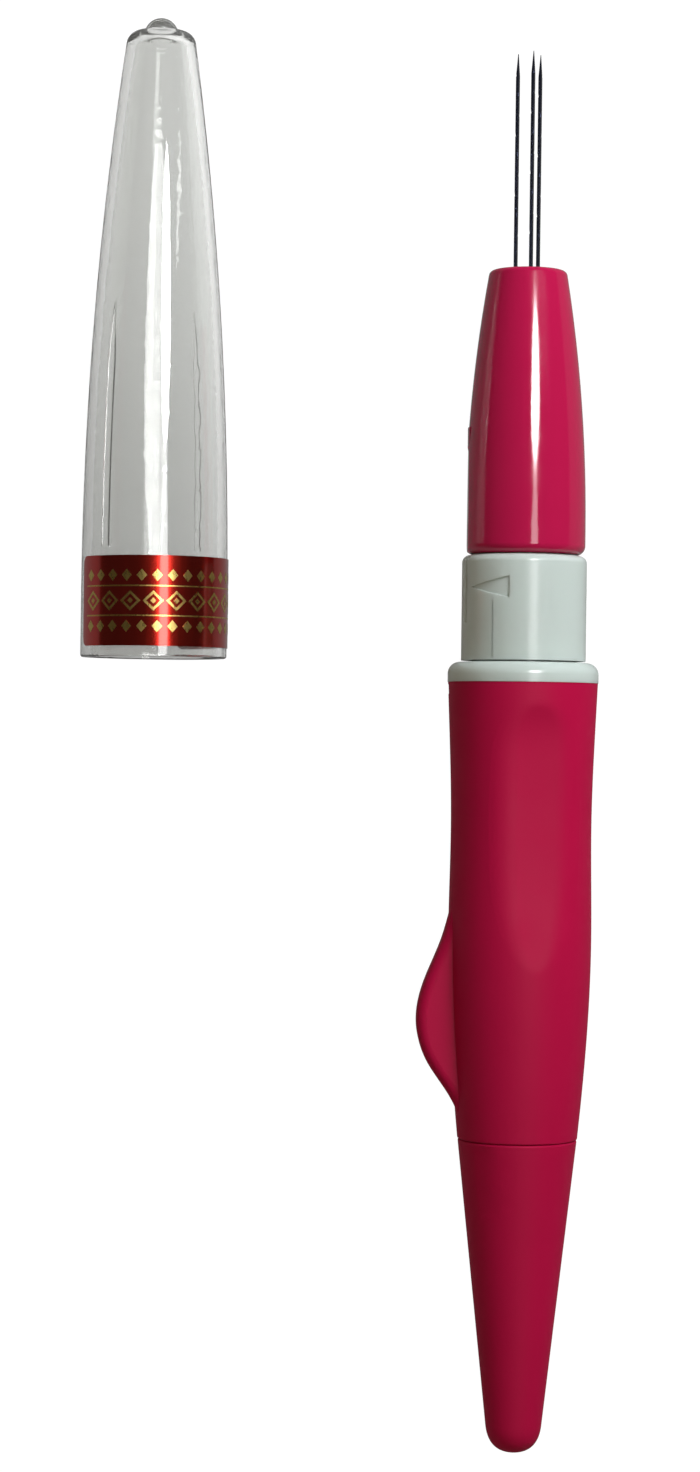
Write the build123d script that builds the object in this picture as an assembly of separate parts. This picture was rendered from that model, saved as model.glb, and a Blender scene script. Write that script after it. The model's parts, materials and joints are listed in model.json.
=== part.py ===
from build123d import *
import math
import os

# Pen-style felting tool with three needles, and its clear cap lying beside it. Lengths are millimetres.
# The tool lies on its side with its axis along Y, the needles towards +Y and the finger rest towards -X.
# A station is a distance along the axis, counted from the front face of the flange ring.
# An angle round the axis is 0 at the top and grows towards -X, the way that the collar turns to unlock.

# Gaps between pieces, and how far a cutter runs past what it cuts
running_gap = 0.05
seat_gap = 0.02
seam_gap = 0.12
cut_overrun = 1.0
half_turn = 180.0
quarter_turn = 90.0
full_turn = 360.0

# Felting needles: bent shank, round neck, three-sided blade with barbs, sharp point
needle_angles = {"needle_left": 111.0, "needle_front": -9.0, "needle_right": 231.0}
needle_pitch_radius = 1.65
needle_exposed_length = 27.2
shank_radius = 0.915
shank_length = 21.0
shank_taper = 2.0
neck_radius = 0.6
blade_side = 0.525
blade_run_in = 1.4
point_length = 2.8
point_side = 0.05
crook_bend_radius = 1.2
crook_stand_off = 0.1
barb_count = 9
barb_edges = 3
barb_setback = 2.8
barb_spacing = 2.5
barb_length = 0.55
barb_depth = 0.08

# Needle block: a post with three shank holes, on a flange with radial pockets for the crooks
block_bore_gap = 0.03
block_post_wall = 1.185
block_post_length = 17.5
block_flange_floor = 0.3

# Nose sleeve: a plug in the nose cone, and a skirt with a key that runs in the guide neck
skirt_bore_gap = 0.2
skirt_wall = 1.0
skirt_end_gap = 0.1
sleeve_plug_length = 8.0
sleeve_plug_wall = 1.9
key_width = 1.0
key_height = 0.9

# Flange insert: ring, guide neck with three spring fingers in front, spring chamber behind
guide_wall = 1.3
guide_setback = 0.4
finger_slot_width = 1.4
finger_slot_root = 4.0
finger_slot_angles = (68.0, 188.0, 308.0)
chamber_shoulder = 0.8
chamber_lip = 1.5
chamber_wall = 1.2
flange_step = 0.29
flange_thickness = 2.5
flange_edge_round = 1.45
insert_plug_length = 3.0
rib_count = 4
rib_width = 1.2
rib_clear_length = 2.5
lug_width = 2.4
lug_length = 1.0
lug_height = 1.2

# Lock collar: a bearing land behind, a relief with three clamping pads in front, a tongue with a stop nub
collar_length = 13.1
collar_seam = 0.2
collar_land_length = 3.2
collar_relief = 0.5
collar_wall = 0.93
collar_edge_round = 0.9
collar_turn = 60.0
pad_half_angle = 10.0
pad_length = 3.5
pad_setback = 3.3
pad_centre_angles = (8.0, 128.0, 248.0)
tongue_angle = 90.0
tongue_half_angle = 19.9
tongue_length = 8.5
slit_width = 0.5
nub_half_angle = 6.0
nub_length = 1.0
nub_setback = 1.5
nub_height = 0.9
nub_side_gap = 0.2
groove_end_angle = 2.5
groove_depth = 0.5
arrow_angle = 38.0
arrow_length = 5.74
arrow_height = 2.7
arrow_setback = 4.1
arrow_depth = 0.2

# Nose cone
nose_step = 0.22
nose_length = 35.5
nose_straight_length = 3.1
nose_front_draw = 2.75
nose_front_wall = 3.0
nose_front_round = 0.7
nose_back_round = 1.2
nose_hole_gap = 0.12
nose_bore_taper_start = 8.6
nose_bore_front_radius = 3.3
nose_flat_width = 4.8
nose_flat_length = 13.5
nose_flat_depth = 0.4
nose_bump_gap = 0.2
nose_bump_length = 2.1
nose_bump_half_angle = 12.0
nose_bump_height = 0.12

# Handle shell with its finger rest
handle_length = 56.9
handle_front_step = 0.06
handle_waist_draw = 0.58
handle_belly_rise = 0.16
handle_rear_draw = 1.46
handle_waist_share = 0.31
handle_belly_share = 0.575
handle_front_slope = 0.04
handle_rear_slope = 0.1
handle_wall = 1.77
handle_rear_wall = 1.47
handle_edge_round = 0.2
window_width = 2.7
window_length = 1.2
window_setback = 0.3
counterbore_end_gap = 0.5
scoop_angle = -11.0
scoop_setback = 2.5
scoop_length = 33.6
scoop_drop = 1.5
scoop_edge_round = 5.0
scoop_floor_shares = (
    (0.0, 0.0),
    (0.1, 0.59),
    (0.25, 0.9),
    (0.49, 1.0),
    (0.736, 0.8),
    (0.933, 0.415),
    (1.0, 0.27),
)
finger_rest_start = 25.5
finger_rest_length = 28.4
finger_rest_height = 5.35
finger_rest_thickness = 6.0
finger_rest_rim_round = 1.3
finger_rest_outline_shares = (
    (0.0, 0.1),
    (0.12, 0.26),
    (0.24, 0.443),
    (0.42, 0.828),
    (0.595, 1.0),
    (0.77, 0.735),
    (0.86, 0.413),
    (1.0, 0.0),
)

# Crook plunger with its rubber pad, spring and spring plug
pad_thickness = 1.0
pad_edge_gap = 0.2
plunger_head_length = 3.0
plunger_stem_radius = 2.5
plunger_stem_length = 5.0
spring_length = 11.85
spring_wire_radius = 0.32
spring_side_gap = 0.4
spring_turns = 7
arcs_per_turn = 4
plug_body_length = 6.0
plug_flange_thickness = 1.5

# Tail cap
tail_length = 39.1
tail_front_step = 0.03
tail_shoulder_radius = 3.5
tail_round_length = 3.4
tail_side_slope = 0.11
tail_spigot_length = 8.0
tail_spigot_gap = 0.12
tail_spigot_wall = 1.2
tail_bore_straight = 4.5
tail_bore_end_radius = 1.9
tail_end_wall = 6.0
tail_edge_round = 0.25
grip_rib_count = 3
grip_rib_width = 0.8
grip_rib_length = 6.0

# Clear cap and its foil band
cap_gap = 0.12
cap_wall = 1.22
cap_straight_length = 8.0
cap_end_radius = 4.13
cap_end_round = 1.7
cap_end_wall = 1.0
cap_tip_clearance = 1.1
cap_rim_round = 0.3
cap_bore_run = 0.3
cap_nose_clearance = 0.26
cap_cavity_end_radius = 3.05
cap_cavity_end_round = 1.3
cap_rib_count = 2
cap_rib_angle = 44.0
cap_rib_width = 1.0
cap_rib_height = 0.2
cap_rib_length = 30.2
cap_rib_point_length = 7.0
nub_dome_radius = 2.1
nub_dome_height = 1.7
cap_spacing = 46.2
cap_offset = 0.0
label_length = 11.1
label_setback = 1.3
label_thickness = 0.1
label_film = 0.01
label_start_angle = -162.5
label_end_angle = 67.5
label_corner_round = 1.0

# Radii, worked out from the needles outwards
post_radius = needle_pitch_radius + shank_radius + block_post_wall
skirt_bore_radius = post_radius + skirt_bore_gap
skirt_radius = skirt_bore_radius + skirt_wall
guide_bore_radius = skirt_radius + running_gap
guide_radius = guide_bore_radius + guide_wall
collar_land_radius = guide_radius + running_gap
collar_relief_radius = collar_land_radius + collar_relief
collar_radius = collar_relief_radius + collar_wall
nose_radius = collar_radius - nose_step
nose_front_radius = nose_radius - nose_front_draw
cap_bore_radius = collar_radius + cap_gap
cap_radius = cap_bore_radius + cap_wall
flange_radius = cap_radius + flange_step
handle_front_radius = flange_radius - handle_front_step
handle_waist_radius = handle_front_radius - handle_waist_draw
handle_belly_radius = handle_waist_radius + handle_belly_rise
handle_rear_radius = handle_belly_radius - handle_rear_draw
handle_bore_radius = handle_rear_radius - handle_rear_wall
counterbore_radius = handle_waist_radius - handle_wall
insert_plug_radius = counterbore_radius - seat_gap
chamber_radius = guide_bore_radius - chamber_shoulder
chamber_outer_radius = chamber_radius + chamber_wall
crook_end_radius = chamber_radius - running_gap
nose_sleeve_radius = skirt_bore_radius + sleeve_plug_wall
nose_bore_radius = nose_sleeve_radius + seat_gap
tail_radius = handle_rear_radius - tail_front_step

# Stations, worked out from the flange ring's front face
collar_back = collar_seam
collar_front = collar_back + collar_length
guide_front = collar_front - guide_setback
nose_back = collar_front + seam_gap
nose_front = nose_back + nose_length
needle_tip = nose_front + needle_exposed_length
blade_back = nose_front - nose_front_wall - blade_run_in
block_back = chamber_lip
crook_station = block_back - crook_stand_off + shank_radius
block_flange_front = crook_station + shank_radius + block_flange_floor
block_front = block_flange_front + block_post_length
skirt_back = block_flange_front + skirt_end_gap
crook_pad_front = block_back - crook_stand_off - running_gap
plunger_front = crook_pad_front - pad_thickness
plunger_shoulder = plunger_front - plunger_head_length
plug_front = plunger_shoulder - spring_length
chamber_back = plug_front - plug_body_length
plug_back = chamber_back - plug_flange_thickness
handle_front = -flange_thickness
handle_rear = handle_front - handle_length
tail_front = handle_rear - running_gap
tail_end = tail_front - tail_length
cap_mouth = cap_offset
cap_bore_end = collar_front + cap_bore_run
cap_cavity_end = needle_tip + cap_tip_clearance
cap_end = cap_cavity_end + cap_end_wall

# Where the tool and the cap lie: both on the floor, with the whole pair centred on the origin
front_end = max(needle_tip, cap_mouth + cap_end + nub_dome_height)
pen_x = (cap_spacing + cap_radius - flange_radius) / 2
pen_y = -(front_end + tail_end) / 2
pen_place = Pos(pen_x, pen_y, flange_radius)
cap_place = Pos(pen_x - cap_spacing, pen_y + cap_mouth, cap_radius)


def around(angle):
    """Turns a shape from the top round the axis, towards -X."""
    return Rot(0, -angle, 0)


def section_plane(station):
    """Plane across the axis at a station, facing the needles."""
    return Plane(origin=(0, station, 0), x_dir=(1, 0, 0), z_dir=(0, 1, 0))


def rod(radius, back, front):
    """Round bar on the axis between two stations."""
    return extrude(section_plane(back) * Circle(radius), amount=front - back)


def tube(radius, bore, back, front):
    """Round bar with a bore right through it."""
    return rod(radius, back, front) - rod(bore, back - cut_overrun, front + cut_overrun)


def turned(edges):
    """Solid of revolution from edges that close a face, with radius along X and station along Y."""
    return revolve(make_face(edges), axis=Axis.Y)


def turned_polygon(points):
    """Solid of revolution from straight runs between (radius, station) points."""
    return revolve(make_face(Polyline(*points, close=True)), axis=Axis.Y)


def sector(inner, outer, back, front, start, end):
    """Part of a tube between two angles round the axis."""
    corners = ((inner, back), (outer, back), (outer, front), (inner, front))
    swept = revolve(
        make_face(Polyline(*corners, close=True)), axis=Axis.Y, revolution_arc=end - start
    )
    return around(end + quarter_turn) * swept


def upright_block(width, low, high, back, front):
    """Block that stands over the axis, centred on X, between two heights and two stations."""
    align = (Align.CENTER, Align.MIN, Align.MIN)
    return Pos(0, back, low) * Box(width, front - back, high - low, align=align)


def rounded(part, radius, station, size):
    """Rounds the circular edge that lies nearest to a radius and a station."""
    circles = part.edges().filter_by(GeomType.CIRCLE)
    edge = min(circles, key=lambda e: abs(e.radius - radius) + abs(e.arc_center.Y - station))
    return fillet(edge, size)


def crooked_rod(radius, reach, front):
    """Bar that runs back along the axis, turns a right angle and runs out along X."""
    path = FilletPolyline(
        (0, front), (0, crook_station), (reach, crook_station), radius=crook_bend_radius
    )
    start = Plane(origin=(0, front, 0), x_dir=(1, 0, 0), z_dir=(0, -1, 0))
    return sweep(start * Circle(radius), path=path)


def barb_cutter(index):
    """Notch in one edge of the blade, steep at the back and open towards the tip."""
    edge_radius = blade_side / math.sqrt(barb_edges)
    root = needle_tip - barb_setback - index * barb_spacing
    notch = Polyline(
        (edge_radius - barb_depth, root),
        (edge_radius + barb_depth, root),
        (edge_radius + barb_depth, root + barb_length),
        (edge_radius, root + barb_length),
        close=True,
    )
    cutter = extrude(make_face(notch), amount=blade_side, both=True)
    return Rot(0, index * full_turn / barb_edges, 0) * cutter


def needle():
    """One needle on the axis, with its crook towards +X."""
    reach = crook_end_radius - needle_pitch_radius
    shank_front = crook_station + shank_length
    neck_back = shank_front + shank_taper
    blade_radius = blade_side / math.sqrt(barb_edges)
    round_part = turned_polygon(
        (
            (0, shank_front - shank_taper),
            (shank_radius, shank_front - shank_taper),
            (shank_radius, shank_front),
            (neck_radius, neck_back),
            (neck_radius, blade_back - shank_taper),
            (blade_radius, blade_back),
            (0, blade_back),
        )
    )
    blade_section = RegularPolygon(radius=blade_radius, side_count=barb_edges)
    point_section = RegularPolygon(radius=point_side, side_count=barb_edges)
    point_back = needle_tip - point_length
    blade = extrude(
        section_plane(blade_back - shank_taper) * blade_section,
        amount=point_back - blade_back + shank_taper,
    )
    point = loft(
        [section_plane(point_back) * blade_section, section_plane(needle_tip) * point_section]
    )
    whole = crooked_rod(shank_radius, reach, shank_front - shank_taper) + round_part + blade + point
    for index in range(barb_count):
        whole -= barb_cutter(index)
    return whole


def placed_needle(shape, angle):
    """A needle, or what is cut for one, at its place round the axis with its crook outwards."""
    return around(angle + quarter_turn) * (Pos(needle_pitch_radius, 0, 0) * shape)


def needle_block():
    """Post and flange that hold the three shanks and seat the three crooks."""
    pocket_radius = shank_radius + block_bore_gap
    flange_outer = guide_bore_radius - running_gap
    reach = flange_outer - needle_pitch_radius + cut_overrun
    block = rod(flange_outer, block_back, block_flange_front) + rod(
        post_radius, block_flange_front, block_front
    )
    bore = rod(pocket_radius, block_back - cut_overrun, block_front + cut_overrun)
    mouth = Pos(0, block_back - cut_overrun, 0) * Box(
        reach,
        crook_station - block_back + cut_overrun,
        pocket_radius * 2,
        align=(Align.MIN, Align.MIN, Align.CENTER),
    )
    pocket = crooked_rod(pocket_radius, reach, block_front) + bore + mouth
    for angle in needle_angles.values():
        block -= placed_needle(pocket, angle)
    return block


def nose_sleeve():
    """Liner that is pressed into the nose cone; its keyed skirt slides in the guide neck."""
    plug_back_station = nose_back + running_gap
    plug = rod(nose_sleeve_radius, plug_back_station, plug_back_station + sleeve_plug_length)
    skirt = rod(skirt_radius, skirt_back, plug_back_station + running_gap)
    key_back = finger_slot_root + key_width / 2
    key = upright_block(
        key_width, skirt_bore_radius, skirt_radius + key_height, key_back, nose_back + seam_gap
    )
    whole = plug + skirt + around(finger_slot_angles[1]) * key
    bore_front = plug_back_station + sleeve_plug_length + cut_overrun
    return whole - rod(skirt_bore_radius, skirt_back - cut_overrun, bore_front)


def nose_cone():
    """Glossy tapered shell with three needle holes in its front wall and a flat on its -X side."""
    straight_end = nose_back + nose_straight_length
    outline = [
        Line((0, nose_back), (nose_radius, nose_back)),
        Line((nose_radius, nose_back), (nose_radius, straight_end)),
        TangentArc((nose_radius, straight_end), (nose_front_radius, nose_front), tangent=(0, 1)),
        Line((nose_front_radius, nose_front), (0, nose_front)),
        Line((0, nose_front), (0, nose_back)),
    ]
    cone = turned(outline)
    cone = rounded(cone, nose_front_radius, nose_front, nose_front_round)
    cone = rounded(cone, nose_radius, nose_back, nose_back_round)
    bore = turned_polygon(
        (
            (0, nose_back - cut_overrun),
            (nose_bore_radius, nose_back - cut_overrun),
            (nose_bore_radius, nose_back + nose_bore_taper_start),
            (nose_bore_front_radius, nose_front - nose_front_wall),
            (0, nose_front - nose_front_wall),
        )
    )
    cone -= bore
    hole_radius = blade_side / math.sqrt(barb_edges) + nose_hole_gap
    hole = rod(hole_radius, nose_front - nose_front_wall - cut_overrun, nose_front + cut_overrun)
    for angle in needle_angles.values():
        cone -= placed_needle(hole, angle)
    flat_radius = nose_flat_width / 2
    flat_end = nose_back + nose_flat_length - flat_radius
    floor = nose_radius - nose_flat_depth
    flat = upright_block(
        nose_flat_width, floor, nose_radius + cut_overrun, nose_back - cut_overrun, flat_end
    )
    flat_tip = Pos(0, flat_end, floor) * Cylinder(
        flat_radius,
        nose_flat_depth + cut_overrun,
        align=(Align.CENTER, Align.CENTER, Align.MIN),
    )
    bump_back = nose_back + nose_flat_length + nose_bump_gap
    bump = sector(
        nose_bore_radius,
        nose_radius - nose_flat_depth + nose_bump_height,
        bump_back,
        bump_back + nose_bump_length,
        tongue_angle - nose_bump_half_angle,
        tongue_angle + nose_bump_half_angle,
    )
    return cone - around(tongue_angle) * (flat + flat_tip) + bump


def lock_collar():
    """Turning collar: bearing land, three clamping pads, a tongue between two slits with a stop nub."""
    collar = rod(collar_radius, collar_back, collar_front)
    collar = rounded(collar, collar_radius, collar_front, collar_edge_round)
    collar -= rod(collar_land_radius, collar_back - cut_overrun, collar_front + cut_overrun)
    collar -= rod(collar_relief_radius, collar_back + collar_land_length, collar_front + cut_overrun)
    root_radius = collar_relief_radius + collar_wall / 2
    pad_front = collar_front - pad_setback
    for centre in pad_centre_angles:
        collar += sector(
            collar_land_radius,
            root_radius,
            pad_front - pad_length,
            pad_front,
            centre - pad_half_angle,
            centre + pad_half_angle,
        )
    nub_front = collar_front - nub_setback
    collar += sector(
        collar_relief_radius - nub_height,
        root_radius,
        nub_front - nub_length,
        nub_front,
        tongue_angle - nub_half_angle,
        tongue_angle + nub_half_angle,
    )
    slit_back = collar_front - tongue_length
    slit = upright_block(
        slit_width,
        guide_radius,
        collar_radius + cut_overrun,
        slit_back,
        collar_front + cut_overrun,
    )
    for side in (-1, 1):
        collar -= around(tongue_angle + side * tongue_half_angle) * slit
    return collar - arrow_cutter()


def arrow_cutter():
    """Sunk triangle on the collar, pointing the way that the collar turns."""
    middle = collar_front - arrow_setback
    triangle = Polyline(
        (-arrow_length / 2, middle),
        (arrow_length / 2, middle + arrow_height / 2),
        (arrow_length / 2, middle - arrow_height / 2),
        close=True,
    )
    prism = extrude(make_face(triangle), amount=collar_radius + cut_overrun)
    skin = tube(collar_radius + cut_overrun, collar_radius - arrow_depth, collar_back, collar_front)
    return around(arrow_angle) * (prism & skin)


def flange_insert():
    """Ring, guide neck with its spring fingers and stop groove, spring chamber with ribs and a snap lug."""
    ring = rounded(rod(flange_radius, handle_front, 0), flange_radius, 0, flange_edge_round)
    body = ring + rod(guide_radius, handle_front, guide_front)
    body += rod(insert_plug_radius, handle_front - insert_plug_length, handle_front)
    body += rod(chamber_outer_radius, chamber_back, handle_front)
    rib_back = chamber_back + rib_clear_length
    for index in range(rib_count):
        rib = upright_block(
            rib_width, chamber_radius + seat_gap, insert_plug_radius - seat_gap, rib_back, handle_front
        )
        body += around((index + 1 / 2) * full_turn / rib_count) * rib
    window_middle = handle_front - window_setback - window_length / 2
    lug = upright_block(
        lug_width,
        chamber_outer_radius,
        insert_plug_radius + lug_height,
        window_middle - lug_length / 2,
        window_middle + lug_length / 2,
    )
    body += around(tongue_angle) * lug
    body -= rod(chamber_radius, chamber_back - cut_overrun, guide_front + cut_overrun)
    body -= rod(guide_bore_radius, block_back, guide_front + cut_overrun)
    slot = upright_block(
        finger_slot_width,
        skirt_bore_radius,
        guide_radius + cut_overrun,
        finger_slot_root,
        guide_front + cut_overrun,
    )
    for angle in finger_slot_angles:
        body -= around(angle) * slot
    nub_front = collar_front - nub_setback
    body -= sector(
        guide_radius - groove_depth,
        guide_radius + cut_overrun,
        nub_front - nub_length - nub_side_gap,
        nub_front + nub_side_gap,
        tongue_angle - nub_half_angle - groove_end_angle,
        tongue_angle + nub_half_angle + collar_turn + groove_end_angle,
    )
    return body


def finger_rest():
    """Fin on the -X side for the thumb or finger, with flat sides and a rounded rim."""
    start = handle_front - finger_rest_start
    points = [
        (
            handle_rear_radius + out_share * finger_rest_height,
            start - along_share * finger_rest_length,
        )
        for along_share, out_share in finger_rest_outline_shares
    ]
    rim = Spline(*points)
    foot = (handle_bore_radius, start)
    heel = (handle_bore_radius, start - finger_rest_length)
    outline = [rim, Line(points[-1], heel), Line(heel, foot), Line(foot, points[0])]
    fin = extrude(make_face(outline), amount=finger_rest_thickness / 2, both=True)
    rim_edges = fin.edges().filter_by(GeomType.BSPLINE)
    return Rot(0, half_turn, 0) * fillet(rim_edges, finger_rest_rim_round)


def grip_scoop():
    """Cutter for the long shallow hollow on top of the grip, under the first finger."""
    start = handle_front - scoop_setback
    points = [
        (handle_front_radius - drop_share * scoop_drop, start - along_share * scoop_length)
        for along_share, drop_share in scoop_floor_shares
    ]
    outer = handle_front_radius + cut_overrun
    top_corners = ((outer, points[-1][1]), (outer, start))
    outline = [Spline(*points), Polyline(points[-1], *top_corners, points[0])]
    block = extrude(make_face(outline), amount=handle_front_radius * 2, dir=(0, 0, 1))
    return around(scoop_angle + quarter_turn) * (Pos(0, 0, -handle_front_radius) * block)


def handle_shell():
    """Grip: swelling shell with a finger rest, bored for the insert in front and the tail cap behind."""
    front = (handle_front_radius, handle_front)
    waist = (handle_waist_radius, handle_front - handle_waist_share * handle_length)
    belly = (handle_belly_radius, handle_front - handle_belly_share * handle_length)
    rear = (handle_rear_radius, handle_rear)
    side = Spline(
        front, waist, belly, rear, tangents=((-handle_front_slope, -1), (-handle_rear_slope, -1))
    )
    outline = [
        Line((0, handle_front), front),
        side,
        Line(rear, (0, handle_rear)),
        Line((0, handle_rear), (0, handle_front)),
    ]
    shell = turned(outline)
    shell = rounded(shell, handle_rear_radius, handle_rear, handle_edge_round) - grip_scoop()
    scoop_floor = shell.faces().filter_by(GeomType.EXTRUSION)
    shell = fillet(scoop_floor.edges(), scoop_edge_round) + finger_rest()
    shell -= rod(handle_bore_radius, handle_rear - cut_overrun, handle_front + cut_overrun)
    shell -= rod(counterbore_radius, plug_back - counterbore_end_gap, handle_front + cut_overrun)
    window_front = handle_front - window_setback
    window = upright_block(
        window_width,
        handle_bore_radius,
        handle_front_radius + cut_overrun,
        window_front - window_length,
        window_front,
    )
    return shell - around(tongue_angle) * window


def crook_pad():
    """Rubber disc that bears on the three crooks."""
    return rod(chamber_radius - pad_edge_gap, plunger_front, crook_pad_front)


def crook_plunger():
    """Head that carries the pad, and a stem that keeps the spring straight."""
    head = rod(chamber_radius - running_gap, plunger_shoulder, plunger_front)
    return head + rod(plunger_stem_radius, plunger_shoulder - plunger_stem_length, plunger_shoulder)


def spring_radius():
    """Mean radius of the spring's coils."""
    return chamber_radius - spring_side_gap - spring_wire_radius


def spring_pitch():
    """Distance along the axis from one coil to the next."""
    free_length = spring_length - (spring_wire_radius + running_gap) * 2
    return free_length / spring_turns


def spring_point(turn):
    """Point on the spring's centre line after so many turns."""
    angle = turn * math.tau
    start = plunger_shoulder - running_gap - spring_wire_radius
    return Vector(
        spring_radius() * math.cos(angle),
        start - turn * spring_pitch(),
        spring_radius() * math.sin(angle),
    )


def spring_direction(turn):
    """Direction of the wire after so many turns."""
    angle = turn * math.tau
    rise = spring_pitch() / math.tau
    return Vector(
        -spring_radius() * math.sin(angle), -rise, spring_radius() * math.cos(angle)
    ).normalized()


def two_arcs(start, start_direction, end, end_direction):
    """Pair of arcs that join two points smoothly along the given directions."""
    chord = end - start
    square_term = 2 * (start_direction.dot(end_direction) - 1)
    linear_term = -2 * chord.dot(start_direction + end_direction)
    root = math.sqrt(linear_term**2 - 4 * square_term * chord.dot(chord))
    reach = (-linear_term - root) / (2 * square_term)
    start_control = start + start_direction * reach
    end_control = end - end_direction * reach
    middle = (start_control + end_control) * (1 / 2)
    return [
        TangentArc(start, middle, tangent=start_direction),
        TangentArc(middle, end, tangent=end_control - start_control),
    ]


def clamp_spring():
    """Compression spring that presses the plunger forward."""
    steps = spring_turns * arcs_per_turn
    path = []
    for step in range(steps):
        turn = step / arcs_per_turn
        following = (step + 1) / arcs_per_turn
        path += two_arcs(
            spring_point(turn),
            spring_direction(turn),
            spring_point(following),
            spring_direction(following),
        )
    start = Plane(origin=spring_point(0), z_dir=spring_direction(0))
    return sweep(start * Circle(spring_wire_radius), path=Wire(path))


def spring_plug():
    """Plug that closes the spring chamber from behind."""
    body = rod(chamber_radius - seat_gap, chamber_back, plug_front)
    return body + rod(chamber_outer_radius, plug_back, chamber_back)


def tail_cap():
    """Hollow tapered end with a spigot that three grip ribs hold in the handle."""
    shoulder_station = tail_end + tail_round_length
    shoulder = (tail_shoulder_radius, shoulder_station)
    side = Spline(
        (tail_radius, tail_front),
        shoulder,
        tangents=((-tail_side_slope, -1), (-tail_side_slope, -1)),
    )
    nose = Spline(shoulder, (0, tail_end), tangents=((-tail_side_slope, -1), (-1, 0)))
    outline = [
        Line((0, tail_front), (tail_radius, tail_front)),
        side,
        nose,
        Line((0, tail_end), (0, tail_front)),
    ]
    cap = rounded(turned(outline), tail_radius, tail_front, tail_edge_round)
    spigot_radius = handle_bore_radius - tail_spigot_gap
    spigot_front = tail_front + tail_spigot_length
    cap += rod(spigot_radius, tail_front, spigot_front)
    rib = upright_block(
        grip_rib_width,
        spigot_radius - tail_spigot_wall / 2,
        handle_bore_radius - running_gap,
        tail_front,
        tail_front + grip_rib_length,
    )
    for index in range(grip_rib_count):
        cap += around(index * full_turn / grip_rib_count) * rib
    bore_radius = spigot_radius - tail_spigot_wall
    bore = turned_polygon(
        (
            (0, spigot_front + cut_overrun),
            (bore_radius, spigot_front + cut_overrun),
            (bore_radius, tail_front - tail_bore_straight),
            (tail_bore_end_radius, tail_end + tail_end_wall),
            (0, tail_end + tail_end_wall),
        )
    )
    return cap - bore


def cap_cavity(inset=0):
    """Space inside the cap in front of its bore, drawn in by a rib's height where one is given."""
    inner_radius = nose_radius + cap_nose_clearance - inset
    end_radius = cap_cavity_end_radius - inset
    outline = [
        Line((0, cap_bore_end - cut_overrun), (inner_radius, cap_bore_end - cut_overrun)),
        Line((inner_radius, cap_bore_end - cut_overrun), (inner_radius, cap_bore_end)),
        TangentArc((inner_radius, cap_bore_end), (end_radius, cap_cavity_end), tangent=(0, 1)),
        Line((end_radius, cap_cavity_end), (0, cap_cavity_end)),
        Line((0, cap_cavity_end), (0, cap_bore_end - cut_overrun)),
    ]
    return rounded(turned(outline), end_radius, cap_cavity_end, cap_cavity_end_round)


def cap_ribs():
    """Low ribs with pointed ends along the inside of the cap, which steady the nose."""
    side = cap_rib_width / 2
    back = cap_bore_end
    front = back + cap_rib_length
    shoulder = front - cap_rib_point_length
    points = ((-side, back), (side, back), (side, shoulder), (0, front), (-side, shoulder))
    bar = extrude(make_face(Polyline(*points, close=True)), amount=cap_radius)
    bars = [
        around(cap_rib_angle + index * full_turn / cap_rib_count) * bar
        for index in range(cap_rib_count)
    ]
    return bars[0] + bars[1:] - cap_cavity(cap_rib_height)


def clear_cap():
    """Transparent cap: straight mouth, long rounded taper, thick end with a small dome."""
    outline = [
        Line((0, 0), (cap_radius, 0)),
        Line((cap_radius, 0), (cap_radius, cap_straight_length)),
        TangentArc((cap_radius, cap_straight_length), (cap_end_radius, cap_end), tangent=(0, 1)),
        Line((cap_end_radius, cap_end), (0, cap_end)),
        Line((0, cap_end), (0, 0)),
    ]
    cap = turned(outline)
    cap = rounded(cap, cap_end_radius, cap_end, cap_end_round)
    cap = rounded(cap, cap_radius, 0, cap_rim_round)
    dome_radius = (nub_dome_radius**2 + nub_dome_height**2) / (2 * nub_dome_height)
    cap += Pos(0, cap_end + nub_dome_height - dome_radius, 0) * Sphere(dome_radius)
    bore = rod(cap_bore_radius, -cut_overrun, cap_bore_end)
    return cap - bore - (cap_cavity() - cap_ribs())


def cap_label():
    """Thin foil band with rounded corners, wrapped most of the way round the cap's mouth."""
    inner = cap_radius + label_film
    back = label_setback
    band = sector(
        inner, inner + label_thickness, back, back + label_length, label_start_angle, label_end_angle
    )
    corners = band.edges().filter_by(GeomType.LINE).filter_by(
        lambda e: e.length < label_thickness * 2
    )
    return fillet(corners, label_corner_round)


def export(name, place, shape):
    """Writes one piece, at its place in the part's frame."""
    piece = place * shape
    piece.label = name
    export_step(piece, os.path.join("parts", name + ".step"))


def main():
    os.makedirs("parts", exist_ok=True)
    print("least gap between coils", spring_pitch() - spring_wire_radius * 2)
    pen_pieces = {
        "handle_shell": handle_shell,
        "flange_insert": flange_insert,
        "lock_collar": lock_collar,
        "nose_cone": nose_cone,
        "nose_sleeve": nose_sleeve,
        "needle_block": needle_block,
        "crook_pad": crook_pad,
        "crook_plunger": crook_plunger,
        "clamp_spring": clamp_spring,
        "spring_plug": spring_plug,
        "tail_cap": tail_cap,
    }
    for name, make in pen_pieces.items():
        export(name, pen_place, make())
    one_needle = needle()
    for name, angle in needle_angles.items():
        export(name, pen_place, placed_needle(one_needle, angle))
    export("clear_cap", cap_place, clear_cap())
    export("cap_label", cap_place, cap_label())


main()
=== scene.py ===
"""Looks of a pen-style needle-felting tool and its clear cap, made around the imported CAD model."""

import json
import logging
import math
from dataclasses import dataclass
from enum import Enum

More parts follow.
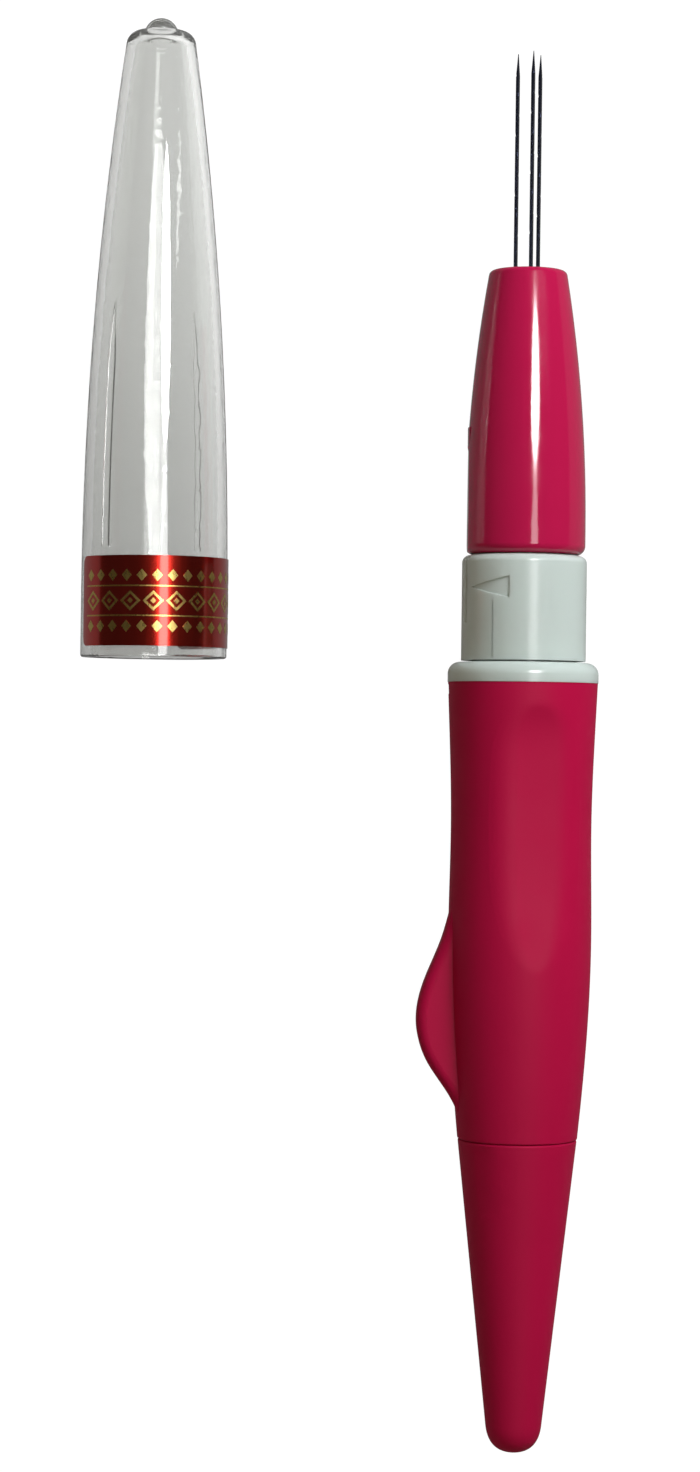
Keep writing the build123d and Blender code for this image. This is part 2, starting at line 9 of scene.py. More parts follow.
import bpy
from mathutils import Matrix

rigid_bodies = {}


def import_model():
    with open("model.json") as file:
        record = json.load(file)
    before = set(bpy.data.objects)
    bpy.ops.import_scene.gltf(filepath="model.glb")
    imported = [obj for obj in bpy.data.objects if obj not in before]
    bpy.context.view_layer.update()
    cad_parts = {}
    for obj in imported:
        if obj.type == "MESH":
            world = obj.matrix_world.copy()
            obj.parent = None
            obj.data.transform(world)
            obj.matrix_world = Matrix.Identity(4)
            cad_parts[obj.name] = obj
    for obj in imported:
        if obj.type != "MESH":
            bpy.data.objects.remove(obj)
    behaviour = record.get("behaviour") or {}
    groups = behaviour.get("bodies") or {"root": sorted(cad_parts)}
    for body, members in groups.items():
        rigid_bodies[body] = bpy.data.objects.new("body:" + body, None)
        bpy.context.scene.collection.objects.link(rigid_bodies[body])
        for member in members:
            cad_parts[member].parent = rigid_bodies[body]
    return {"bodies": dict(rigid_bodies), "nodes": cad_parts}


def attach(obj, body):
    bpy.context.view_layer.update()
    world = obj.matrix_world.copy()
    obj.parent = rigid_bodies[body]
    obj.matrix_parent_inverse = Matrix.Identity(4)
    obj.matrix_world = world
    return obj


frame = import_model()

MM = 0.001

# The tool and its cap lie side by side along Y: their axes, the ring's front face and the cap's mouth
PEN_AXIS_X = 22.955 * MM
PEN_AXIS_Z = 9.41 * MM
RING_FACE_Y = 9.315 * MM
CAP_AXIS_X = -23.245 * MM
CAP_AXIS_Z = 9.12 * MM
CAP_MOUTH_Y = 9.315 * MM

# The sRGB curve: its highest step, where its straight start ends, that start's slope, and the rest
SRGB_STEPS = 255
SRGB_KNEE = 0.04045
SRGB_SLOPE = 12.92
SRGB_OFFSET = 0.055
SRGB_POWER = 2.4

# Sockets of a Mix node that blends two colours
MIX_FIRST = 6
MIX_SECOND = 7
MIX_RESULT = 2

WHITE = (1.0, 1.0, 1.0, 1.0)

# Radius of a round primitive that is one unit across, and the Solidify offset that thickens outwards
UNIT_RADIUS = 0.5
OUTWARDS = 1.0

log = logging.getLogger("felting_tool")


class Body(Enum):
    """Moving bodies that new pieces ride on, as the CAD names them."""

    COLLAR = "collar"
    CAP = "cap"


class Slot(Enum):
    """Names of two material slots of the record; the new pieces are given their materials directly."""

    MINT = "mint"
    FOIL = "foil"


# Small helpers


def linear(hex_colour: str) -> tuple[float, float, float, float]:
    """Turns an sRGB hex colour into a linear one.

    Args:
        hex_colour: Colour such as "#B41C4A".

    Returns:
        Linear red, green, blue and full alpha.
    """
    channels = []
    for step in bytes.fromhex(hex_colour.removeprefix("#")):
        value = step / SRGB_STEPS
        if value <= SRGB_KNEE:
            channels.append(value / SRGB_SLOPE)
        else:
            channels.append(((value + SRGB_OFFSET) / (1 + SRGB_OFFSET)) ** SRGB_POWER)
    return (*channels, 1.0)


def add_node(
    tree: bpy.types.NodeTree, kind: str, inputs: dict | None = None, **settings: object
) -> bpy.types.Node:
    """Adds a node with its settings, values and links.

    Args:
        tree: Node tree that gets the node.
        kind: Blender's name of the node type.
        inputs: Socket names or numbers, each with a value or with the socket that feeds it.
        settings: Attributes of the node.

    Returns:
        The new node.
    """
    node = tree.nodes.new(kind)
    for name, value in settings.items():
        setattr(node, name, value)
    for key, value in (inputs or {}).items():
        if isinstance(value, bpy.types.NodeSocket):
            tree.links.new(value, node.inputs[key])
        else:
            node.inputs[key].default_value = value
    return node


def new_material(name: str) -> tuple[bpy.types.Material, bpy.types.NodeTree]:
    """Makes an empty node material.

    Args:
        name: Name of the finish.

    Returns:
        The material and its node tree.
    """
    material = bpy.data.materials.new(name)
    material.use_nodes = True
    material.node_tree.nodes.clear()
    return material, material.node_tree


def dress(node_names: tuple[str, ...], material: bpy.types.Material) -> None:
    """Gives CAD nodes their finish.

    Args:
        node_names: Names of the CAD nodes.
        material: Material that they get.
    """
    for name in node_names:
        slots = frame["nodes"][name].data.materials
        slots.clear()
        slots.append(material)
        log.info("%s is finished in %s", name, material.name)


def deselect_all() -> None:
    """Leaves nothing selected, so that operators act on the new piece alone."""
    bpy.ops.object.select_all(action="DESELECT")


def apply_place(piece: bpy.types.Object) -> None:
    """Moves a piece's place, turn and scale into its mesh.

    Args:
        piece: Object that ends at the origin.
    """
    deselect_all()
    piece.select_set(True)
    bpy.context.view_layer.objects.active = piece
    bpy.ops.object.transform_apply(location=True, rotation=True, scale=True)


def apply_modifier(piece: bpy.types.Object, kind: str, **settings: object) -> None:
    """Adds a modifier and applies it.

    Args:
        piece: Object that is changed.
        kind: Modifier type.
        settings: Attributes of the modifier.
    """
    bpy.context.view_layer.objects.active = piece
    modifier = piece.modifiers.new(kind.lower(), kind)
    for name, value in settings.items():
        setattr(modifier, name, value)
    bpy.ops.object.modifier_apply(modifier=modifier.name)


def wrap_round(piece: bpy.types.Object, axis_x: float, axis_z: float, radius: float) -> None:
    """Bends a flat piece round an axis along Y; its X becomes arc length from the top, its Z height.

    Args:
        piece: Flat piece in metres.
        axis_x: X of the axis.
        axis_z: Z of the axis.
        radius: Radius on which the piece's Z is 0.
    """
    for vertex in piece.data.vertices:
        angle = vertex.co.x / radius
        reach = radius + vertex.co.z
        vertex.co.x = axis_x + reach * math.sin(angle)
        vertex.co.z = axis_z + reach * math.cos(angle)
    piece.data.update()


def finish_piece(
    piece: bpy.types.Object, name: str, body: Body, material: bpy.types.Material
) -> None:
    """Names, dresses and attaches a new piece.

    Args:
        piece: The new piece.
        name: Its name.
        body: CAD body that it moves with.
        material: Its material.
    """
    piece.name = name
    piece.data.name = name
    piece.data.materials.clear()
    piece.data.materials.append(material)
    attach(piece, body.value)
    log.info("%s rides on %s in %s", name, body.value, material.name)


# Finishes


@dataclass(frozen=True)
class Finish:
    """A material with one shader; each kind of finish says what feeds the shader's sockets."""

    name: str
    colour: str
    roughness: float

    def _sockets(self, tree: bpy.types.NodeTree, place: bpy.types.NodeSocket) -> dict:
        """Adds the nodes of this kind of finish.

        Args:
            tree: Node tree that gets the nodes.
            place: Object coordinates, which the patterns follow.

        Returns:
            The shader's socket names, each with a value or with the socket that feeds it.
        """
        raise NotImplementedError

    def build(self) -> bpy.types.Material:
        """Builds the material.

        Returns:
            The finish as a material.
        """
        material, tree = new_material(self.name)
        place = add_node(tree, "ShaderNodeTexCoord").outputs["Object"]
        shader = add_node(tree, "ShaderNodeBsdfPrincipled", self._sockets(tree, place))
        add_node(tree, "ShaderNodeOutputMaterial", {"Surface": shader.outputs["BSDF"]})
        return material


@dataclass(frozen=True)
class MouldedPlastic(Finish):
    """Injection-moulded plastic: even pigment, a tool texture of its own, and a little handling.

    The noise of the handling runs from the plain to the worn roughness between its two limits.
    """

    shade_colour: str
    worn_roughness: float
    ior: float
    grain_mm: float
    grain_depth_mm: float
    grain_detail: float = 3.0
    flow_mm: float = 18.0
    flow_detail: float = 2.0
    handling_mm: float = 5.0
    handling_detail: float = 4.0
    handling_limits: tuple[float, float] = (0.35, 0.65)
    subsurface_share: float = 0.0
    subsurface_mm: float = 1.0
    subsurface_spread: tuple[float, float, float] = (1.0, 1.0, 1.0)
    specular_share: float = 0.5

    def _sockets(self, tree: bpy.types.NodeTree, place: bpy.types.NodeSocket) -> dict:
        """Adds the pigment's flow, the handling and the tool's grain.

        Args:
            tree: Node tree that gets the nodes.
            place: Object coordinates, which the patterns follow.

        Returns:
            The shader's socket names, each with a value or with the socket that feeds it.
        """
        flow, handling, grain = (
            add_node(
                tree,
                "ShaderNodeTexNoise",
                {"Vector": place, "Scale": 1 / (size_mm * MM), "Detail": detail},
            ).outputs["Fac"]
            for size_mm, detail in (
                (self.flow_mm, self.flow_detail),
                (self.handling_mm, self.handling_detail),
                (self.grain_mm, self.grain_detail),
            )
        )
        pigment = add_node(
            tree,
            "ShaderNodeMix",
            {
                "Factor": flow,
                MIX_FIRST: linear(self.shade_colour),
                MIX_SECOND: linear(self.colour),
            },
            data_type="RGBA",
        )
        wear = add_node(
            tree,
            "ShaderNodeMapRange",
            {
                "Value": handling,
                "From Min": self.handling_limits[0],
                "From Max": self.handling_limits[1],
                "To Min": self.roughness,
                "To Max": self.worn_roughness,
            },
        )
        bump = add_node(
            tree, "ShaderNodeBump", {"Distance": self.grain_depth_mm * MM, "Height": grain}
        )
        return {
            "Base Color": pigment.outputs[MIX_RESULT],
            "Roughness": wear.outputs["Result"],
            "IOR": self.ior,
            "Normal": bump.outputs["Normal"],
            "Subsurface Weight": self.subsurface_share,
            "Subsurface Scale": self.subsurface_mm * MM,
            "Subsurface Radius": self.subsurface_spread,
            "Specular IOR Level": self.specular_share,
        }


@dataclass(frozen=True)
class ClearPlastic(Finish):
    """Clear polished plastic: smooth, faintly grey, with the slight ripple of a moulding."""

    clear_share: float
    ior: float
    ripple_mm: float
    ripple_depth_mm: float
    ripple_detail: float = 1.0

    def _sockets(self, tree: bpy.types.NodeTree, place: bpy.types.NodeSocket) -> dict:
        """Adds the ripple.

        Args:
            tree: Node tree that gets the nodes.
            place: Object coordinates, which the ripple follows.

        Returns:
            The shader's socket names, each with a value or with the socket that feeds it.
        """
        ripple = add_node(
            tree,
            "ShaderNodeTexNoise",
            {"Vector": place, "Scale": 1 / (self.ripple_mm * MM), "Detail": self.ripple_detail},
        )
        bump = add_node(
            tree,
            "ShaderNodeBump",
            {"Distance": self.ripple_depth_mm * MM, "Height": ripple.outputs["Fac"]},
        )
        return {
            "Base Color": linear(self.colour),
            "Roughness": self.roughness,
            "IOR": self.ior,
            "Transmission Weight": self.clear_share,
            "Normal": bump.outputs["Normal"],
        }


@dataclass(frozen=True)
class DrawnMetal(Finish):
    """Metal with fine marks along Y, as drawing, grinding or rolling leaves them.

    The noise of the marks runs from the plain to the marks' roughness between its two limits.
    """

    mark_colour: str
    mark_roughness: float
    mark_width_mm: float
    mark_length_mm: float
    mark_depth_mm: float
    mark_detail: float = 3.0
    mark_limits: tuple[float, float] = (0.3, 0.7)
    coat_share: float = 0.0
    coat_roughness: float = 0.05

    def _sockets(self, tree: bpy.types.NodeTree, place: bpy.types.NodeSocket) -> dict:
        """Adds the marks.

        Args:
            tree: Node tree that gets the nodes.
            place: Object coordinates, which the marks follow.

        Returns:
            The shader's socket names, each with a value or with the socket that feeds it.
        """
        across = 1 / (self.mark_width_mm * MM)
        along = 1 / (self.mark_length_mm * MM)
        stretched = add_node(
            tree, "ShaderNodeMapping", {"Vector": place, "Scale": (across, along, across)}
        )
        marks = add_node(
            tree,
            "ShaderNodeTexNoise",
            {"Vector": stretched.outputs["Vector"], "Scale": 1.0, "Detail": self.mark_detail},
        ).outputs["Fac"]
        tint = add_node(
            tree,
            "ShaderNodeMix",
            {
                "Factor": marks,
                MIX_FIRST: linear(self.mark_colour),
                MIX_SECOND: linear(self.colour),
            },
            data_type="RGBA",
        )
        dullness = add_node(
            tree,
            "ShaderNodeMapRange",
            {
                "Value": marks,
                "From Min": self.mark_limits[0],
                "From Max": self.mark_limits[1],
                "To Min": self.roughness,
                "To Max": self.mark_roughness,
            },
        )
        bump = add_node(
            tree, "ShaderNodeBump", {"Distance": self.mark_depth_mm * MM, "Height": marks}
        )
        return {
            "Base Color": tint.outputs[MIX_RESULT],
            "Metallic": 1.0,
            "Roughness": dullness.outputs["Result"],
            "Normal": bump.outputs["Normal"],
            "Coat Weight": self.coat_share,
            "Coat Roughness": self.coat_roughness,
        }


# ABS from a polished tool: deep pink, mirror-like, with a sharp streak where a lamp is reflected
GLOSSY_ABS = MouldedPlastic(
    name="glossy_abs_pink",
    colour="#BD164C",
    shade_colour="#B61447",
    roughness=0.08,
    worn_roughness=0.13,
    ior=1.54,
    grain_mm=1.2,
    grain_depth_mm=0.001,
)

# The same ABS from a spark-eroded tool: satin and even, with hardly any mirror image.
# Its grain is drawn coarser than it is, so that it shows.
SATIN_ABS = MouldedPlastic(
    name="satin_abs_pink",
    colour="#BC0C44",
    shade_colour="#B30A3F",
    roughness=0.5,
    worn_roughness=0.58,
    ior=1.48,
    grain_mm=0.3,
    grain_depth_mm=0.012,
    specular_share=0.1,
)

# Moulded acetal, pale grey-green: waxy and slightly see-through, so that its edges look soft
MINT_ACETAL = MouldedPlastic(
    name="acetal_grey_green",
    colour="#CFDAD5",
    shade_colour="#CAD6D0",
    roughness=0.19,
    worn_roughness=0.27,
    ior=1.48,
    grain_mm=0.4,
    grain_depth_mm=0.003,
    subsurface_share=0.7,
    subsurface_mm=1.8,
)

# Natural nylon as moulded: off-white and slightly cloudy, on the pieces inside
NATURAL_NYLON = MouldedPlastic(
    name="natural_nylon",
    colour="#E4E2D6",
    shade_colour="#DCDACC",
    roughness=0.38,
    worn_roughness=0.5,
    ior=1.53,
    grain_mm=0.5,
    grain_depth_mm=0.004,
    subsurface_share=0.2,
)

# Moulded nitrile rubber: black, dull, dusty in its grain
NITRILE_RUBBER = MouldedPlastic(
    name="nitrile_rubber",
    colour="#1B1B1D",
    shade_colour="#262628",
    roughness=0.7,
    worn_roughness=0.85,
    ior=1.52,
    grain_mm=0.3,
    grain_depth_mm=0.01,
)

# Moulded polystyrene, clear and brittle: glassy, with a faint milkiness from handling
CLEAR_POLYSTYRENE = ClearPlastic(
    name="clear_polystyrene",
    colour="#F1F2F0",
    clear_share=0.92,
    roughness=0.03,
    ior=1.59,
    ripple_mm=6.0,
    ripple_depth_mm=0.0015,
)

# Hardened carbon steel wire, ground and polished: nearly black except where it mirrors a lamp.
# Its grinding marks are drawn coarser than they are, so that they show.
NEEDLE_STEEL = DrawnMetal(
    name="polished_needle_steel",
    colour="#3C4054",
    mark_colour="#2F3244",
    roughness=0.16,
    mark_roughness=0.26,
    mark_width_mm=0.08,
    mark_length_mm=1.5,
    mark_depth_mm=0.002,
)

# Hard-drawn spring wire: greyer and duller than the needles
SPRING_STEEL = DrawnMetal(
    name="hard_drawn_spring_wire",
    colour="#A9A9AB",
    mark_colour="#8C8C90",
    roughness=0.28,
    mark_roughness=0.4,
    mark_width_mm=0.1,
    mark_length_mm=0.8,
    mark_depth_mm=0.003,
)

# Polyester film over red-lacquered rolled aluminium: slightly wavy, with a white glint where it mirrors
# the lamp, and dark red elsewhere
RED_FOIL = DrawnMetal(
    name="red_metallised_film",
    colour="#D83226",
    mark_colour="#CB2A20",
    roughness=0.18,
    mark_roughness=0.24,
    mark_width_mm=1.5,
    mark_length_mm=14.0,
    mark_depth_mm=0.004,
    coat_share=1.0,
    coat_roughness=0.09,
)

# Hot-stamped gold: a pale yellow metal coat on the film
GOLD_FOIL = DrawnMetal(
    name="hot_stamped_gold",
    colour="#E3C97C",
    mark_colour="#D8BA66",
    roughness=0.25,
    mark_roughness=0.34,
    mark_width_mm=0.4,
    mark_length_mm=0.8,
    mark_depth_mm=0.003,
)


# The tool and its cap


@dataclass
class NeedleEnd:
    """Glossy nose with its liner and the three needles that it guides."""

    shells: tuple[str, ...] = ("nose_cone",)
    liners: tuple[str, ...] = ("nose_sleeve", "needle_block")
    needles: tuple[str, ...] = ("needle_left", "needle_front", "needle_right")

    def build(self) -> None:
        """Dresses the nose, its liner and the needles."""
        dress(self.shells, GLOSSY_ABS.build())
        dress(self.liners, NATURAL_NYLON.build())
        dress(self.needles, NEEDLE_STEEL.build())


@dataclass
class TurningCollar:
    """Lock collar and flange ring, with the fine line where the collar's mould halves meet.

    The line's angle is in degrees from the top, and its ends are counted from the ring's front face.
    """

    shells: tuple[str, ...] = ("lock_collar", "flange_insert")
    radius: float = 7.78 * MM
    line_angle: float = -32.5
    line_width: float = 0.11 * MM
    line_height: float = 0.02 * MM
    line_back: float = 0.5 * MM
    line_front: float = 7.4 * MM
    line_cuts: int = 6

    def _mould_line(self) -> bpy.types.Object:
        """Models the mould line flat, then wraps it onto the collar.

        Returns:
            The line as a thin raised strip.
        """
        deselect_all()
        middle_y = RING_FACE_Y + (self.line_back + self.line_front) / 2
        bpy.ops.mesh.primitive_plane_add(size=1, location=(0, middle_y, 0))
        strip = bpy.context.object
        strip.scale = (self.line_width, self.line_front - self.line_back, 1)
        bpy.ops.object.mode_set(mode="EDIT")
        bpy.ops.mesh.select_all(action="SELECT")
        bpy.ops.mesh.subdivide(number_cuts=self.line_cuts)
        bpy.ops.object.mode_set(mode="OBJECT")
        apply_place(strip)
        apply_modifier(strip, "SOLIDIFY", thickness=self.line_height, offset=OUTWARDS)
        for vertex in strip.data.vertices:
            vertex.co.x += math.radians(self.line_angle) * self.radius
        wrap_round(strip, PEN_AXIS_X, PEN_AXIS_Z, self.radius)
        return strip

    def build(self) -> None:
        """Dresses the collar and the ring, and adds the mould line."""
        acetal = MINT_ACETAL.build()
        dress(self.shells, acetal)
        finish_piece(self._mould_line(), "collar_mould_line", Body.COLLAR, acetal)


@dataclass
class Grip:
    """Satin grip and tail, with the clamp that they hide."""

    shells: tuple[str, ...] = ("handle_shell", "tail_cap")
    liners: tuple[str, ...] = ("crook_plunger", "spring_plug")
    pads: tuple[str, ...] = ("crook_pad",)
    springs: tuple[str, ...] = ("clamp_spring",)

    def build(self) -> None:
        """Dresses the grip, the tail and what is inside them."""
        dress(self.shells, SATIN_ABS.build())
        dress(self.liners, NATURAL_NYLON.build())
        dress(self.pads, NITRILE_RUBBER.build())
        dress(self.springs, SPRING_STEEL.build())


class LozengeStyle(Enum):
    """How a lozenge of the foil's ornament is drawn."""

    SOLID = "solid"
    OPEN = "open"


@dataclass(frozen=True)
class LozengeRow:
    """One row of gold lozenges round the foil band, at its distance from the cap's mouth."""

    station: float
    width: float
    height: float
    count: int
    style: LozengeStyle


@dataclass
class ClearCap:
    """Clear cap with its red foil band and the band's gold ornament.

    The foil's angles are in degrees from the top, and stations are counted from the cap's mouth.
    """

    shells: tuple[str, ...] = ("clear_cap",)
    foils: tuple[str, ...] = ("cap_label",)
    foil_radius: float = 9.23 * MM
    foil_start_angle: float = -67.5
    foil_end_angle: float = 162.5
    ornament_margin: float = 1.2 * MM
    ornament_lift: float = 0.004 * MM
    ornament_thickness: float = 0.012 * MM
    lozenge_corners: int = 4
    lozenge_cuts: int = 2
    open_stroke: float = 0.3 * MM
    rule_width: float = 0.16 * MM
    rule_cuts: int = 90
    rule_stations: tuple[float, ...] = (8.65 * MM, 5.0 * MM)
    rows: tuple[LozengeRow, ...] = (
        LozengeRow(9.95 * MM, width=1.3 * MM, height=1.5 * MM, count=18, style=LozengeStyle.SOLID),
        LozengeRow(6.82 * MM, width=2.6 * MM, height=2.5 * MM, count=12, style=LozengeStyle.OPEN),
        LozengeRow(6.82 * MM, width=0.75 * MM, height=0.75 * MM, count=12, style=LozengeStyle.SOLID),
        LozengeRow(3.7 * MM, width=1.3 * MM, height=1.5 * MM, count=18, style=LozengeStyle.SOLID),
    )

    def _arc_span(self) -> tuple[float, float]:
        """Works out where the ornament starts and ends.

        Returns:
            Arc length of its start and of its end, counted from the top.
        """
        start = math.radians(self.foil_start_angle) * self.foil_radius + self.ornament_margin
        end = math.radians(self.foil_end_angle) * self.foil_radius - self.ornament_margin
        return start, end

    def _lozenge(self, row: LozengeRow) -> bpy.types.Object:
        """Models one flat lozenge at the origin.

        Args:
            row: Row that the lozenge is for.

        Returns:
            The flat lozenge.
        """
        deselect_all()
        bpy.ops.mesh.primitive_circle_add(
            vertices=self.lozenge_corners, radius=UNIT_RADIUS, fill_type="NGON"
        )
        lozenge = bpy.context.object
        lozenge.scale = (row.width, row.height, 1)
        apply_place(lozenge)
        bpy.ops.object.mode_set(mode="EDIT")
        bpy.ops.mesh.select_all(action="SELECT")
        if row.style is LozengeStyle.OPEN:
            bpy.ops.mesh.inset(thickness=self.open_stroke)
            bpy.ops.mesh.delete(type="FACE")
            bpy.ops.mesh.select_all(action="SELECT")
        bpy.ops.mesh.subdivide(number_cuts=self.lozenge_cuts)
        bpy.ops.object.mode_set(mode="OBJECT")
        return lozenge

    def _row(self, row: LozengeRow) -> list[bpy.types.Object]:
        """Copies one lozenge along its row.

        Args:
            row: The row's sizes.

        Returns:
            Flat lozenges in their places.
        """
        start, end = self._arc_span()
        first = self._lozenge(row)
        pitch = (end - start) / row.count
        made = []
        for index in range(row.count):
            copy = first.copy()
            copy.data = first.data.copy()
            bpy.context.collection.objects.link(copy)
            copy.location.x = start + (index + 1 / 2) * pitch
            copy.location.y = CAP_MOUTH_Y + row.station
            made.append(copy)
        bpy.data.objects.remove(first)
        return made

    def _rule(self, station: float) -> bpy.types.Object:
        """Models one flat gold rule.

        Args:
            station: Distance from the cap's mouth.

        Returns:
            The flat rule in its place.
        """
        start, end = self._arc_span()
        deselect_all()
        middle = ((start + end) / 2, CAP_MOUTH_Y + station, 0)
        bpy.ops.mesh.primitive_grid_add(
            x_subdivisions=self.rule_cuts, y_subdivisions=1, size=1, location=middle
        )
        rule = bpy.context.object
        rule.scale = (end - start, self.rule_width, 1)
        return rule

    def _ornament(self) -> bpy.types.Object:
        """Joins the rows and rules, gives them a thickness and wraps them onto the foil.

        Returns:
            The whole ornament.
        """
        parts = [self._rule(station) for station in self.rule_stations]
        for row in self.rows:
            parts += self._row(row)
        for part in parts:
            apply_place(part)
        deselect_all()
        for part in parts:
            part.select_set(True)
        bpy.context.view_layer.objects.active = parts[0]
        bpy.ops.object.join()
        ornament = bpy.context.object
        apply_modifier(ornament, "SOLIDIFY", thickness=self.ornament_thickness, offset=OUTWARDS)
        for vertex in ornament.data.vertices:
            vertex.co.z += self.ornament_lift
        wrap_round(ornament, CAP_AXIS_X, CAP_AXIS_Z, self.foil_radius)
        return ornament

    def build(self) -> None:
        """Dresses the cap and the foil, and adds the gold ornament."""
        dress(self.shells, CLEAR_POLYSTYRENE.build())
        dress(self.foils, RED_FOIL.build())
        finish_piece(self._ornament(), "foil_ornament", Body.CAP, GOLD_FOIL.build())


# The studio


@dataclass(frozen=True)
class Lamp:
    """Oval lamp that faces the origin, and what it is for: shading, mirror images or clear pieces."""

    name: str
    place: tuple[float, float, float]
    width: float
    length: float
    power: float
    colour: str = "#FFFFFF"
    shades: bool = False
    mirrored: bool = True
    seen_through_clear: bool = True

    def build(self) -> None:
        """Hangs the lamp."""
        data = bpy.data.lights.new(self.name, "AREA")
        data.shape = "ELLIPSE"
        data.size = self.width
        data.size_y = self.length
        data.energy = self.power
        data.color = linear(self.colour)[:3]
        lamp = bpy.data.objects.new(self.name, data)
        bpy.context.collection.objects.link(lamp)
        lamp.location = self.place
        lamp.rotation_mode = "QUATERNION"
        lamp.rotation_quaternion = lamp.location.to_track_quat("Z", "Y")
        lamp.visible_diffuse = self.shades
        lamp.visible_glossy = self.mirrored
        lamp.visible_transmission = self.seen_through_clear


# Soft lamp from the upper right, which makes the shading and no mirror image
SOFT_KEY = Lamp(
    name="soft_key",
    place=(0.2, 0.23, 0.27),
    width=0.2,
    length=0.2,
    power=1.54,
    colour="#F3F8FF",
    shades=True,
    mirrored=False,
    seen_through_clear=False,
)

# Lamp whose mirror image is the sharp white streak on the nose
NOSE_STREAK = Lamp(name="nose_streak", place=(0.28, 0.32, 0.92), width=0.26, length=0.29, power=6.3)

# Dimmer lamp nearer the grip, whose mirror image is the glint on the foil
FOIL_GLINT = Lamp(name="foil_glint", place=(0.27, -0.02, 0.92), width=0.38, length=0.24, power=1.25)

# Broad lamp for the sheen inside the clear cap, which nothing else mirrors
CAP_SHEEN = Lamp(
    name="cap_sheen", place=(0.02, 0.25, 0.92), width=0.76, length=0.44, power=7.5, mirrored=False
)

# Narrow lamp far to the right, for the fine line on the cap's right wall
CAP_LINE = Lamp(
    name="cap_line", place=(1.15, 0.6, 0.92), width=0.07, length=0.6, power=0.8, mirrored=False
)


@dataclass(frozen=True)
class PaintedLightRamp:
    """Painted light and shade on the floor, seen only through clear pieces: a smooth change in brightness
    along one axis.
    """

    axis: str
    start: float
    start_brightness: float
    end: float
    end_brightness: float


# Painted light and shade behind the clear cap: seen through the cap, the floor is painted to brighten from
# its mouth to its tip and from its left to its right, standing in for the cap's shadow and the light that
# it gathers
PAINTED_LIGHT_ALONG = PaintedLightRamp(axis="Y", start=5 * MM, start_brightness=0.58, end=80 * MM, end_brightness=0.95)
PAINTED_LIGHT_ACROSS = PaintedLightRamp(axis="X", start=-22 * MM, start_brightness=1.0, end=-12 * MM, end_brightness=1.35)


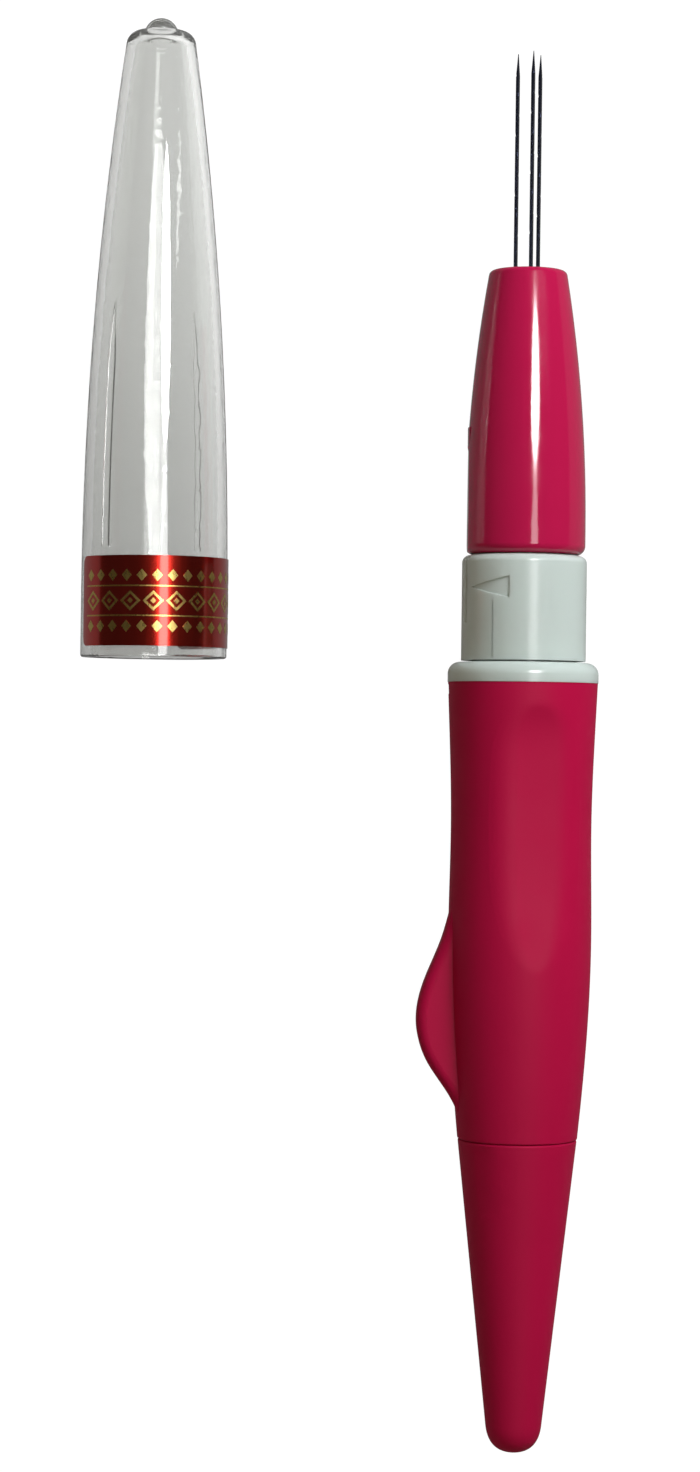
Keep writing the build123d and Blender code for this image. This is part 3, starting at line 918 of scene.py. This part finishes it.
@dataclass
class Studio:
    """Pale floor, soft light and the camera straight above."""

    floor_radius: float = 3.0
    floor_corners: int = 96
    floor_paint: str = "#A9A8A2"
    backdrop_share: float = 0.9
    backdrop_strength: float = 1.12
    mirrored_strength: float = 0.22
    painted_light_ramps: tuple[PaintedLightRamp, PaintedLightRamp] = (PAINTED_LIGHT_ALONG, PAINTED_LIGHT_ACROSS)
    world_colour: str = "#FFEDD2"
    world_strength: float = 0.24
    mirrored_world_strength: float = 0.05
    lamps: tuple[Lamp, ...] = (SOFT_KEY, NOSE_STREAK, FOIL_GLINT, CAP_SHEEN, CAP_LINE)
    camera_place: tuple[float, float, float] = (1.45 * MM, -0.12 * MM, 434 * MM)
    camera_roll: float = 0.75
    camera_lens: float = 83.15
    camera_clip_start: float = 10 * MM
    sensor_size: float = 36.0

    def _floor_material(self) -> bpy.types.Material:
        """Builds the floor's material: white to the eye, dimmer in mirrors, painted light and shade
        through clear pieces, grey paint to other light.

        Returns:
            The floor's material.
        """
        material, tree = new_material("studio_floor")
        rays = add_node(tree, "ShaderNodeLightPath").outputs
        place = add_node(tree, "ShaderNodeTexCoord").outputs["Object"]
        axes = add_node(tree, "ShaderNodeSeparateXYZ", {"Vector": place}).outputs
        # Painted light and shade that only clear pieces see: brightness ramps across the floor
        along, across = (
            add_node(
                tree,
                "ShaderNodeMapRange",
                {
                    "Value": axes[ramp.axis],
                    "From Min": ramp.start,
                    "From Max": ramp.end,
                    "To Min": ramp.start_brightness,
                    "To Max": ramp.end_brightness,
                },
                interpolation_type="SMOOTHSTEP",
            ).outputs["Result"]
            for ramp in self.painted_light_ramps
        )
        # The painted light and shade behind clear pieces, from both ramps together
        painted_light = add_node(tree, "ShaderNodeMath", {0: along, 1: across}, operation="MULTIPLY")
        behind = add_node(
            tree,
            "ShaderNodeMapRange",
            {
                "Value": rays["Is Transmission Ray"],
                "To Min": self.mirrored_strength,
                "To Max": painted_light.outputs[0],
            },
        )
        strength = add_node(
            tree,
            "ShaderNodeMapRange",
            {
                "Value": rays["Is Camera Ray"],
                "To Min": behind.outputs["Result"],
                "To Max": self.backdrop_strength,
            },
        )
        mirrored = add_node(
            tree,
            "ShaderNodeMath",
            {0: rays["Is Glossy Ray"], 1: rays["Is Transmission Ray"]},
            operation="MAXIMUM",
        )
        seen = add_node(
            tree,
            "ShaderNodeMath",
            {0: rays["Is Camera Ray"], 1: mirrored.outputs[0]},
            operation="MAXIMUM",
        )
        share = add_node(
            tree,
            "ShaderNodeMath",
            {0: seen.outputs[0], 1: self.backdrop_share},
            operation="MULTIPLY",
        )
        paint = add_node(tree, "ShaderNodeBsdfDiffuse", {"Color": linear(self.floor_paint)})
        glow = add_node(
            tree, "ShaderNodeEmission", {"Color": WHITE, "Strength": strength.outputs["Result"]}
        )
        mixed = add_node(
            tree,
            "ShaderNodeMixShader",
            {0: share.outputs[0], 1: paint.outputs["BSDF"], 2: glow.outputs["Emission"]},
        )
        add_node(tree, "ShaderNodeOutputMaterial", {"Surface": mixed.outputs["Shader"]})
        return material

    def build_floor(self) -> None:
        """Makes the floor as a round sheet under the object."""
        deselect_all()
        bpy.ops.mesh.primitive_circle_add(
            vertices=self.floor_corners,
            radius=self.floor_radius,
            fill_type="NGON",
            location=(0, 0, 0),
        )
        floor = bpy.context.object
        floor.name = "studio_floor"
        floor.data.materials.append(self._floor_material())

    def build_world(self) -> None:
        """Makes the surroundings: white behind the object, warm and dim as a source of light."""
        world = bpy.data.worlds.new("studio_surroundings")
        world.use_nodes = True
        tree = world.node_tree
        tree.nodes.clear()
        rays = add_node(tree, "ShaderNodeLightPath").outputs
        strength = add_node(
            tree,
            "ShaderNodeMapRange",
            {
                "Value": rays["Is Glossy Ray"],
                "To Min": self.world_strength,
                "To Max": self.mirrored_world_strength,
            },
        )
        dim = add_node(
            tree,
            "ShaderNodeBackground",
            {"Color": linear(self.world_colour), "Strength": strength.outputs["Result"]},
        )
        white = add_node(tree, "ShaderNodeBackground", {"Color": WHITE})
        mixed = add_node(
            tree,
            "ShaderNodeMixShader",
            {
                0: rays["Is Camera Ray"],
                1: dim.outputs["Background"],
                2: white.outputs["Background"],
            },
        )
        add_node(tree, "ShaderNodeOutputWorld", {"Surface": mixed.outputs["Shader"]})
        bpy.context.scene.world = world

    def build_lamps(self) -> None:
        """Hangs all the lamps."""
        for lamp in self.lamps:
            lamp.build()

    def build_camera(self) -> None:
        """Hangs the camera over the object, turned as the photograph is."""
        data = bpy.data.cameras.new("camera")
        data.lens = self.camera_lens
        data.sensor_width = self.sensor_size
        data.clip_start = self.camera_clip_start
        camera = bpy.data.objects.new("camera", data)
        bpy.context.collection.objects.link(camera)
        camera.location = self.camera_place
        camera.rotation_euler = (0, 0, math.radians(self.camera_roll))
        bpy.context.scene.camera = camera

    def build(self) -> None:
        """Builds the whole studio."""
        bpy.context.scene.view_settings.view_transform = "Standard"
        self.build_floor()
        self.build_world()
        self.build_lamps()
        self.build_camera()


def clear_startup_objects() -> None:
    """Removes what an empty Blender file starts with, so that only the frame is left."""
    kept = {*frame["nodes"].values(), *frame["bodies"].values()}
    for item in list(bpy.data.objects):
        if item not in kept:
            bpy.data.objects.remove(item)


def main() -> None:
    """Builds the looks in order."""
    logging.basicConfig(level=logging.INFO, format="%(name)s: %(message)s")
    clear_startup_objects()
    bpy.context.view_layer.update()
    Studio().build()
    for assembly in (NeedleEnd(), TurningCollar(), Grip(), ClearCap()):
        assembly.build()


if __name__ == "__main__":
    main()
